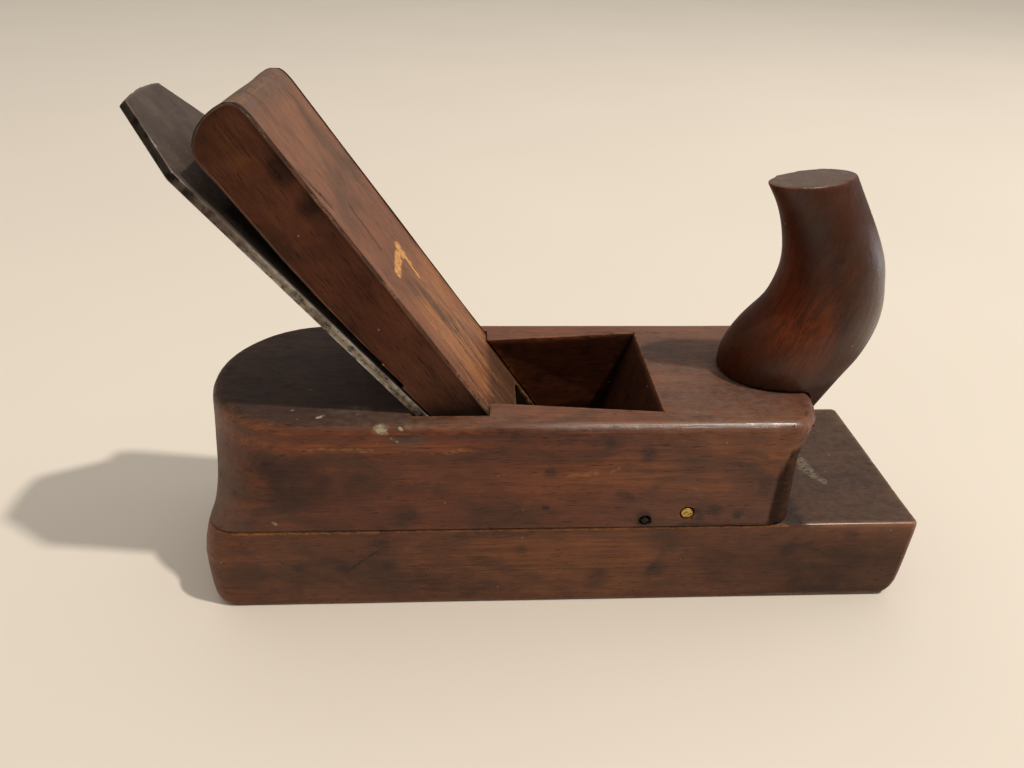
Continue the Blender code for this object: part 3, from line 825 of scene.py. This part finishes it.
def make_stock():
    """The stock's worn skin: its shape, then its masks."""
    skin = Skin("body_block", "stock", "stock_wood")
    skin.slice(
        0.35 * MM,
        2.2 * MM,
        XYZ,
        crisp=lambda spot: spot.z < JOINT_Z + 1 * MM,
        soft=lambda spot: outside(spot) and (spot.z > TOP_Z - 0.5 * MM or spot.x > 60 * MM),
        soft_bevel=1.9 * MM,
    )
    clear = ramp(skin.points[:, 2], JOINT_Z + 0.5 * MM, JOINT_Z + 4 * MM)
    worn = skin.wear_arrises(3, 8, 0.12 * MM, share=clear)
    skin.wave(5, 0.16 * MM, (26 * MM, 14 * MM, 12 * MM), clear)
    x, y, z = skin.points.T
    near, top = facing(skin, 1, -1), facing(skin, 2, 1)

    ding = blob(skin.points, (-0.0515, NEAR_Y, TOP_Z - 1.5 * MM), (4.2 * MM, 3 * MM, 3.6 * MM), 1)
    nick = blob(skin.points, (-0.0445, NEAR_Y + 1 * MM, TOP_Z), (4 * MM, 3 * MM, 2 * MM), 2)
    toe_corner = (STOCK_HIGH.x - 2 * MM, NEAR_Y + 9 * MM, TOP_Z - 4 * MM)
    corner = blob(skin.points, toe_corner, (7 * MM, 8 * MM, 8 * MM), 3)
    battered = ramp(rough_noise(skin.points, 2.5 * MM, 31), -0.2, 0.8)
    skin.push(battered * (0.9 * MM * ding + 0.4 * MM * nick + 0.55 * MM * corner))

    # Painted shade deep in the throat: the grime_and_shade and ruddy masks darken it.
    throat = (np.abs(y) < THROAT_HALF_WIDTH) & (x > -0.052) & (x < 0.031) & (z < TOP_Z - 1.2 * MM)
    throat = skin.blur(throat.astype(float), 3)
    # Painted shade: heel_shade on the heel's near side, horn_ring round the horn's foot on the top.
    heel_shade = blob(skin.points, (-0.078, NEAR_Y, 0.047), (26 * MM, 8 * MM, 14 * MM), 4, 0.3)
    horn_ring = blob(skin.points, (0.066, 0.0, TOP_Z), (24 * MM, 21 * MM, 6 * MM), 5, 0.2)
    heel_top = 0.74 * top * (1 - ramp(x, -0.060, -0.018)) + 0.14 * top
    # Painted shade: front_end darkens a strip up the stock's rounded near front corner, which faces away
    # from the light.
    strip = 0.0632 + 0.0022 * ramp(z, 0.048, 0.060)
    front_end = ramp(x, strip - 0.6 * MM, strip + 0.7 * MM) * (1 - ramp(z, 0.0575, 0.0605))
    lip_dark = blob(skin.points, (0.0700, NEAR_Y, 0.0632), (5.5 * MM, 5 * MM, 5.5 * MM), 27, 0.5)
    # Kept with the grime: painted shade in the throat, inner corners (hollows), heel_shade, horn_ring and
    # front_end; lip_dark darkens the near front lip and heel_top the top towards the heel.
    skin.keep(
        "grime_and_shade",
        0.72 * throat
        + 0.7 * skin.hollows()
        + 0.45 * heel_shade
        + 0.35 * horn_ring * top
        + heel_top
        + 0.95 * front_end
        + 0.70 * lip_dark,
    )
    skin.keep("stain", near * side_spots(skin, STOCK_BLOTS, 20))
    rounded = ramp(z, TOP_Z - 2.6 * MM, TOP_Z - 1.0 * MM) * ramp(np.abs(y), 29.5 * MM, 31.5 * MM)
    # Painted highlight: lit_arris lightens the near top arris where the key light glints, through
    # dust_and_sheen, and polishes it.
    lit_arris = rounded * ramp(x, -0.020, 0.008) * (1 - ramp(x, 0.060, 0.074))
    scrape = near * blob(skin.points, (-0.0445, NEAR_Y, 0.0628), (8 * MM, 4 * MM, 3.4 * MM), 25, 0.5)
    skin.keep("polish", lit_arris + 0.04 * near)
    skin.keep("dull", throat + 0.6 * front_end)
    # Painted shade: ruddy_throat darkens and reddens the throat.
    ruddy_throat = 0.75 * throat * (1 - 0.6 * ramp(x, 0.014, 0.026))
    skin.keep("ruddy", 0.80 * near * (1 - 0.75 * ramp(x, -0.010, 0.040)) + ruddy_throat + 0.25 * top)

    band = near * (1 - ramp(np.abs(z - 0.0615), 1.0 * MM, 3.2 * MM)) * (1 - ramp(x, -0.045, -0.012))
    middle = near * blob(skin.points, (0.010, NEAR_Y, 0.0515), (48 * MM, 9 * MM, 13 * MM), 6, 0.3)
    lip = near * blob(skin.points, (0.058, NEAR_Y, 0.058), (20 * MM, 9 * MM, 7 * MM), 7, 0.3)
    # Painted light: heel_edge lightens the near side where it turns round the heel.
    heel_edge = blob(skin.points, (-0.0925, NEAR_Y, 0.050), (8 * MM, 6 * MM, 15 * MM), 8, 0.3)
    top_rim = top * ramp(np.abs(y), 20 * MM, 30 * MM)
    skin.keep("glow", 0.95 * band + 0.55 * middle + 0.4 * lip + 0.5 * heel_edge + 0.35 * top_rim)
    skin.keep("wear", worn * (0.45 + 0.55 * ramp(rough_noise(skin.points, 9 * MM, 33), -0.4, 0.6)))

    rear_top = top * (1 - ramp(x, -0.032, 0.004)) * ramp(x, -0.082, -0.055) * (1 - ramp(y, -0.030, -0.018))
    front_top = top * ramp(x, 0.024, 0.034) * (1 - ramp(x, 0.058, 0.074))
    # Painted sheen: heel_sheen lays a pale grey film over the heel's turning end.
    heel_sheen = 0.75 * (1 - ramp(x, -0.101, -0.090)) * (1 - ramp(z, 0.050, 0.062))
    settled = 0.40 * rear_top + 0.55 * front_top + 0.14 * top
    skin.keep("dust_and_sheen", settled + heel_sheen + 0.60 * lit_arris + 0.65 * scrape)
    chalk = blob(skin.points, (-0.0615, -0.0235, TOP_Z), (8 * MM, 2.6 * MM, 3 * MM), 9, 0.6)
    scar = blob(skin.points, (-0.0527, NEAR_Y + 1.3 * MM, 0.0671), (2.6 * MM, 2.4 * MM, 2.4 * MM), 24)
    skin.keep("pale", 0.45 * scar + 0.25 * nick + 0.15 * chalk)
    skin.finish(
        worn_wood(
            "stock_wood_worn",
            deep=(0.056, 0.022, 0.014),
            body=(0.140, 0.050, 0.025),
            light=(0.220, 0.084, 0.037),
            glow=(0.330, 0.115, 0.034),
            marks=STOCK_MARKS,
        )
    )


def make_sole():
    """The sole board's skin, crisp at the joint and worn at the toe and heel."""
    skin = Skin("sole_board", "stock", "sole_wood")
    skin.slice(0.35 * MM, 2.2 * MM, XYZ)
    under_stock = (skin.points[:, 0] < STOCK_HIGH.x) & (skin.points[:, 2] > JOINT_Z - 3 * MM)
    clear = 1 - skin.blur(under_stock.astype(float), 2)
    worn = skin.wear_arrises(43, 5, 0.10 * MM, share=clear)
    skin.wave(45, 0.14 * MM, (30 * MM, 14 * MM, 12 * MM), clear)
    x, y, z = skin.points.T
    near, top = facing(skin, 1, -1), facing(skin, 2, 1)

    gouge = blob(skin.points, (-0.090, NEAR_Y, JOINT_Z), (16 * MM, 2.4 * MM, 2.0 * MM), 11, 0.7)
    skin.push(0.7 * MM * gouge * clear)
    mouth = (np.abs(y) < THROAT_HALF_WIDTH) & (x > -0.020) & (x < 0.0195) & (z > 0.8 * MM)
    mouth = skin.blur((mouth & (z < JOINT_Z - 0.8 * MM)).astype(float), 3)
    under = 1 - ramp(z, 0.0, 5 * MM)
    step = top * (1 - ramp(np.abs(x - 0.072), 1 * MM, 5 * MM))
    toe_top = top * ramp(x, 0.066, 0.073)
    toe_shade = near * ramp(x, 0.030, 0.085) * (1 - ramp(z, 0.018, 0.030))
    # Painted shade, kept with the grime: in the mouth, in the corner where the stock's front meets the toe
    # (step) and low on the near side by the toe (toe_shade); under darkens the lowest 5 mm.
    skin.keep("grime_and_shade", 0.8 * mouth + 0.5 * step + 0.18 * under + 0.45 * toe_shade + 0.70 * toe_top)
    skin.keep("stain", near * side_spots(skin, SOLE_BLOTS, 60))
    middle = near * blob(skin.points, (-0.004, NEAR_Y, 0.020), (55 * MM, 8 * MM, 14 * MM), 12, 0.3)
    heel = 1 - ramp(x, -0.111, -0.096)
    toe_arris = ramp(z, JOINT_Z - 1.6 * MM, JOINT_Z) * ramp(x, 0.070, 0.074) * worn
    skin.keep("glow", 0.55 * middle + 0.45 * heel + 0.95 * toe_arris + 0.9 * gouge)
    skin.keep("wear", worn)
    skin.keep("dust_and_sheen", 0.42 * toe_top)
    skin.keep("polish", 0.5 * worn * ramp(x, 0.066, 0.073))
    skin.keep("dull", mouth)
    skin.keep("ruddy", 0.42 * near + 0.45 * (1 - ramp(x, -0.111, -0.085)) + 0.6 * mouth)
    skin.finish(
        worn_wood(
            "sole_wood_worn",
            deep=(0.060, 0.024, 0.014),
            body=(0.140, 0.053, 0.025),
            light=(0.210, 0.086, 0.037),
            glow=(0.310, 0.120, 0.036),
            marks=SOLE_MARKS,
        )
    )


def make_horn():
    """The horn's skin, rubbed smooth where the hand holds it."""
    skin = Skin("horn", "stock", "horn_wood")
    skin.remesh(0.5 * MM)
    skin.soften(24, 3)
    worn = skin.wear_arrises(83, 4, 0.12 * MM)
    skin.wave(85, 0.14 * MM, 11 * MM)
    x, y, z = skin.points.T
    cut_top = ramp(z, HORN_TOP - 4 * MM, HORN_TOP - 2 * MM) * facing(skin, 2, 1, 0.6)
    foot = 1 - ramp(z, TOP_Z + 0.5 * MM, TOP_Z + 4 * MM)
    hold = blob(skin.points, (0.070, -0.012, 0.088), (15 * MM, 14 * MM, 20 * MM), 14, 0.3)
    rear = blob(skin.points, (0.064, -0.004, 0.100), (7 * MM, 12 * MM, 16 * MM), 15, 0.3)
    neck = blob(skin.points, (0.066, -0.006, 0.116), (9 * MM, 12 * MM, 14 * MM), 16, 0.3)
    # Painted shade: foot darkens the horn where it meets the stock's top.
    skin.keep("grime_and_shade", 0.65 * foot + 0.30 * neck)
    skin.keep("glow", 0.85 * hold + 0.55 * rear)
    skin.keep("wear", worn)
    skin.keep("dust_and_sheen", 0.85 * cut_top)
    skin.keep("stain", 0.45 * blob(skin.points, (0.0805, -0.0110, 0.090), (6 * MM, 6 * MM, 6 * MM), 23))
    left = ramp(-skin.normals[:, 0], 0.25, 0.80)
    right = ramp(skin.normals[:, 0], 0.0, 0.5)
    gleam = ramp(z, 0.076, 0.090) * (1 - ramp(z, 0.104, 0.120))
    skin.keep("dull", 0.85 * left + 0.75 * right * (1 - gleam))
    # Painted shade: 0.45 * left darkens and reddens the horn's left side, which faces away from the light.
    skin.keep("ruddy", 0.45 * left + 0.30)
    skin.keep("polish", 0.22 * right * gleam)
    rim = blob(skin.points, (0.0745, -0.0075, HORN_TOP - 1.2 * MM), (5 * MM, 3 * MM, 1.6 * MM), 17, 0.4)
    skin.keep("pale", 0.45 * rim * worn)
    skin.finish(
        worn_wood(
            "horn_wood_worn",
            deep=(0.034, 0.009, 0.004),
            body=(0.064, 0.021, 0.009),
            light=(0.098, 0.037, 0.017),
            glow=(0.175, 0.040, 0.009),
            turn=math.radians(70.0),
            gloss=0.27,
            shine=0.32,
            grain=0.35,
            film_tone=(0.055, 0.030, 0.020),
        )
    )


def make_wedge():
    """The wedge's skin; along, y and depth are places on it, as wedge_spot() has them."""
    skin = Skin("wedge", "wedge_piece", "wedge_wood")
    skin.slice(0.45 * MM, 1.3 * MM, (WEDGE_AXIS, WEDGE_OUT, XYZ[1]))
    up, out, face_foot = np.array(WEDGE_AXIS), np.array(WEDGE_OUT), np.array(WEDGE_FRONT)
    end = skin.points @ up
    skin.relax(ramp(end, end.max() - 17 * MM, end.max() - 12 * MM), 8)
    worn = skin.wear_arrises(123, 6, 0.55 * MM, 6 * MM)
    skin.wave(125, 0.14 * MM, 14 * MM)
    along = (skin.points - face_foot) @ up
    depth = (skin.points - face_foot) @ out
    y = skin.points[:, 1]
    local = np.stack([along, y, depth], axis=1)
    front = ramp(skin.normals @ out, 0.55, 0.95)
    near = ramp(-skin.normals[:, 1], 0.40, 0.95)

    patch_a = blob(local, (0.0450, 0.0058, 0.0), (3.2 * MM, 3.0 * MM, 4 * MM), 18, 0.6)
    patch_b = groove(local, (0.0432, 0.0062, 0.0), (0.0380, 0.0050, 0.0), 1.2 * MM)
    patch_c = groove(local, (0.0453, 0.0010, 0.0), (0.0438, -0.0100, 0.0), 1.5 * MM)
    scuff = front * np.clip(np.maximum(patch_a, np.maximum(patch_b, patch_c)), 0.0, 1.0)
    scuff *= ramp(rough_noise(local, (3 * MM, 1 * MM, 1 * MM), 131), -0.55, 0.25)
    split = groove(local, (0.082, -0.021, 0.0), (0.070, -0.0185, 0.0), 0.9 * MM)
    split = np.maximum(split, groove(local, (0.066, -0.006, 0.0), (0.052, -0.008, 0.0), 0.8 * MM))
    chips = ramp(rough_noise(local, (3.0 * MM, 1.5 * MM, 1.5 * MM), 137), 0.10, 0.60)
    chips *= skin.blur(worn, 2) * ramp(-y, 0.020, 0.022) * ramp(along, 0.004, 0.010)
    seat = ramp(-(skin.normals @ out), -0.10, 0.30)
    skin.points += np.outer(0.20 * MM * seat * ramp(along, -0.036, -0.024), out)
    skin.push(0.25 * MM * scuff + 0.30 * MM * front * split + 0.55 * MM * chips)
    # The seat's upper end must not stand proud of the rest of it, or the iron would catch there.
    flat = (seat > 0.9) & (along > 0.006) & (along < 0.024)
    height = (skin.points - face_foot) @ out
    slope, level = np.polyfit(along[flat], height[flat], 1)
    lift = np.clip(slope * along + level - height, 0.0, 1.0 * MM) * (along > 0.020)
    skin.points += np.outer(lift, out)
    skin.read_normals()

    lower = front * (1 - ramp(along, 0.030, 0.046)) * ramp(y, -0.022, -0.010)
    tan = lower * (0.75 + 0.25 * soft_noise(local, (20 * MM, 3 * MM, 3 * MM), 133))
    crown = ramp(along, 0.094, 0.101) * (1 - near)
    dark = near * blob(local, (0.083, WEDGE_NEAR_Y, -0.003), (13 * MM, 6 * MM, 6 * MM), 19, 0.7)
    red = near * blob(local, (0.097, WEDGE_NEAR_Y, -0.010), (12 * MM, 6 * MM, 9 * MM), 20, 0.3)
    inside = 1 - ramp(along, -0.004, 0.002)
    grey = front * blob(local, (0.036, -0.0075, 0.0), (7 * MM, 4 * MM, 4 * MM), 22, 0.4)
    foot = 1 - ramp(along, 0.0, 0.018)
    # Painted shade, kept with the grime: the wedge below the stock's top (inside), its face against the
    # iron (seat) and its near side low down by the throat's cheek (foot); the split darkens too.
    sheltered = 0.75 * inside + 0.7 * seat + 0.8 * split
    skin.keep("grime_and_shade", sheltered + near * (0.35 + 0.55 * foot) + 0.30 * dark + 0.40 * crown)
    low_dark = near * blob(local, (0.062, WEDGE_NEAR_Y, -0.006), (16 * MM, 6 * MM, 7 * MM), 26, 0.7)
    skin.keep("stain", 0.45 * dark + 0.40 * low_dark + 0.55 * grey)
    skin.keep("glow", 0.92 * tan + 0.55 * red + 0.16 * front)
    ruddy_near = 0.62 * near * (0.35 + 0.65 * ramp(along, 0.010, 0.045))
    skin.keep("ruddy", ruddy_near + 0.42 * front * (1 - ramp(along, 0.055, 0.080)))
    skin.keep("dull", 0.6 * near)
    skin.keep("wear", worn)
    skin.keep("dust_and_sheen", 0.85 * crown + 0.25 * front * ramp(along, 0.030, 0.050))
    nicks = worn * near * ramp(rough_noise(local, (3 * MM, 1.5 * MM, 1.5 * MM), 135), 0.1, 0.6)
    skin.keep("pale", 0.35 * nicks + 0.55 * chips)
    skin.finish(
        worn_wood(
            "wedge_wood_worn",
            deep=(0.078, 0.028, 0.015),
            body=(0.170, 0.066, 0.036),
            light=(0.240, 0.100, 0.056),
            glow=(0.400, 0.175, 0.058),
            turn=math.atan2(WEDGE_AXIS.z, WEDGE_AXIS.x),
            gloss=0.48,
            marks=WEDGE_MARKS,
        )
    )


def make_iron():
    """The iron's skin, pitted on its edges, dull at its top and rubbed bright lower down."""
    skin = Skin("cutting_iron", "iron", "iron_steel")
    skin.slice(0.30 * MM, 1.4 * MM, (BED_AXIS, XYZ[1]))
    points = skin.points
    off_axis = np.array((BED_AXIS.z, 0.0, -BED_AXIS.x))
    along = points @ np.array(BED_AXIS)
    along -= along.max()
    side = 1 - np.abs(skin.normals @ off_axis)
    rim = ramp(side, 0.35, 0.8)
    arris = np.clip(skin.bend() * 1.2, 0.0, 1.0)
    pits = ramp(rough_noise(points, 2.0 * MM, 151), 0.15, 0.8)
    face = ramp(skin.normals @ off_axis, 0.5, 0.9)
    # The worn cutting edge lies a little lower than the face, clear of the wedge's legs.
    edge = 1 - ramp(along - along.min(), 0.5 * MM, 2.0 * MM)
    skin.points -= np.outer(0.14 * MM * edge, off_axis)
    skin.push(0.30 * MM * rim * pits + 0.14 * MM * face)
    rubbed = ramp(-along, 0.030, 0.055)
    broken = ramp(rough_noise(points, 5 * MM, 155), -0.5, 0.3)
    skin.keep("rim", rim * (0.35 + 0.65 * rubbed))
    shoulder = ramp(-along, 0.009, 0.013) * (1 - ramp(-along, 0.020, 0.026))
    brightness = np.clip(0.12 + 0.6 * shoulder + 0.88 * rubbed, 0.0, 1.0)
    skin.keep("wear", arris * brightness * (0.25 + 0.75 * broken))
    clip_side = rim * (1 - ramp(-along, 0.018, 0.030))
    # Painted shade: covered darkens the iron's face under the wedge, where the wedge's shadow falls.
    sheltered = 1 - ramp(points[:, 2], WEDGE_TOP - 28 * MM, WEDGE_TOP - 23 * MM)
    covered = face * sheltered * (1 - ramp(np.abs(points[:, 1]), 0.0190, 0.0225))
    skin.keep("grime_and_shade", 0.85 * clip_side + 0.55 * rim * (1 - rubbed) * pits + covered)
    skin.finish(old_steel("iron_steel_worn"))


def make_pin(node, slot, material):
    """The hammered end of a pin in the stock's side."""
    skin = Skin(node, "stock", slot)
    skin.remesh(0.25 * MM)
    skin.soften(4, 4)
    skin.push(0.12 * MM * ramp(soft_noise(skin.points, 1.2 * MM, 171), -0.4, 0.9))
    skin.finish(material)


make_stock()
make_sole()
make_horn()
make_wedge()
make_iron()
make_pin(
    "brass_pin",
    "pin_brass",
    old_metal("pin_brass_worn", (0.160, 0.090, 0.020), (0.640, 0.440, 0.110), 0.85, 0.38),
)
make_pin(
    "iron_nail",
    "nail_iron",
    old_metal("nail_iron_worn", (0.005, 0.004, 0.003), (0.014, 0.010, 0.008), 0.10, 0.80),
)


# ---- Stage, light and camera ----------------------------------------------------------

FLOOR_REACH = 6.0
CAMERA_PLACE = Vector((-0.02671, -0.20952, 0.18966))
CAMERA_PITCH = math.radians(31.22)
CAMERA_YAW = math.radians(3.279)
CAMERA_ROLL = math.radians(1.4485)
CAMERA_LENS = 27.035


def make_floor():
    """A wide pale floor under the sole."""
    mesh = bpy.data.meshes.new("floor")
    work = bmesh.new()
    corners = [(-1, -1), (1, -1), (1, 1), (-1, 1)]
    work.faces.new(
        [work.verts.new((x * FLOOR_REACH, y * FLOOR_REACH, cad_low.z)) for x, y in corners]
    )
    work.to_mesh(mesh)
    work.free()
    floor = bpy.data.objects.new("floor", mesh)
    bpy.context.scene.collection.objects.link(floor)
    n = Nodes("pale_floor")
    cloud = n.noise((0.25, 0.25, 0.25), 0.0, 3.0, 0.5)
    color = n.blend(cloud, (0.70, 0.650, 0.575), (0.76, 0.705, 0.63))
    n.feed(n.shader.inputs["Base Color"], color)
    n.shader.inputs["Roughness"].default_value = 0.6
    n.shader.inputs["Specular IOR Level"].default_value = 0.2
    mesh.materials.append(n.material)


def make_lamp(name, direction, distance, size, power, color):
    """A round soft lamp that far away in that direction, turned to the plane."""
    lamp = bpy.data.lights.new(name, "AREA")
    lamp.shape = "DISK"
    lamp.size = size
    lamp.energy = power
    lamp.color = color
    item = bpy.data.objects.new(name, lamp)
    bpy.context.scene.collection.objects.link(item)
    towards = Vector(direction).normalized()
    item.location = towards * distance
    item.rotation_mode = "QUATERNION"
    item.rotation_quaternion = towards.to_track_quat("Z", "Y")


def make_world():
    """A plain room: dim on the side the camera stands, pale behind and above the plane."""
    world = bpy.data.worlds.new("pale_room")
    world.use_nodes = True
    tree = world.node_tree
    background = tree.nodes["Background"]
    split = tree.nodes.new("ShaderNodeSeparateXYZ")
    tree.links.new(tree.nodes.new("ShaderNodeTexCoord").outputs["Generated"], split.inputs[0])
    total = tree.nodes.new("ShaderNodeMath")
    for side, socket, low, high, strength in (("Y", 0, -0.7, 0.7, 0.50), ("Z", 1, 0.35, 1.0, 0.52)):
        fade = tree.nodes.new("ShaderNodeMapRange")
        fade.interpolation_type = "SMOOTHSTEP"
        fade.inputs["From Min"].default_value = low
        fade.inputs["From Max"].default_value = high
        fade.inputs["To Min"].default_value = 0.06
        fade.inputs["To Max"].default_value = strength
        tree.links.new(split.outputs[side], fade.inputs["Value"])
        tree.links.new(fade.outputs["Result"], total.inputs[socket])
    tree.links.new(total.outputs[0], background.inputs["Strength"])
    background.inputs["Color"].default_value = (1.0, 0.93, 0.84, 1.0)
    bpy.context.scene.world = world


def make_camera():
    """A phone camera's wide view, held a little above the plane and tipped down at it."""
    data = bpy.data.cameras.new("camera")
    data.sensor_width = 36.0
    data.lens = CAMERA_LENS
    data.clip_start, data.clip_end = 0.01, 20.0
    camera = bpy.data.objects.new("camera", data)
    bpy.context.scene.collection.objects.link(camera)
    forward = Vector((math.sin(CAMERA_YAW), math.cos(CAMERA_YAW), -math.tan(CAMERA_PITCH)))
    level = forward.to_track_quat("-Z", "Y").to_matrix()
    turned = level @ Matrix.Rotation(CAMERA_ROLL, 3, "Z")
    camera.matrix_world = Matrix.Translation(CAMERA_PLACE) @ turned.to_4x4()
    bpy.context.scene.camera = camera


make_floor()
make_world()
make_lamp("key", (0.49, -0.16, 1.0), 2.6, 0.10, 44.0, (1.0, 0.91, 0.80))
make_lamp("cool_side", (1.0, 0.20, 0.22), 1.6, 0.8, 3.0, (0.80, 0.90, 1.0))
make_camera()
bpy.context.scene.view_settings.view_transform = "Standard"
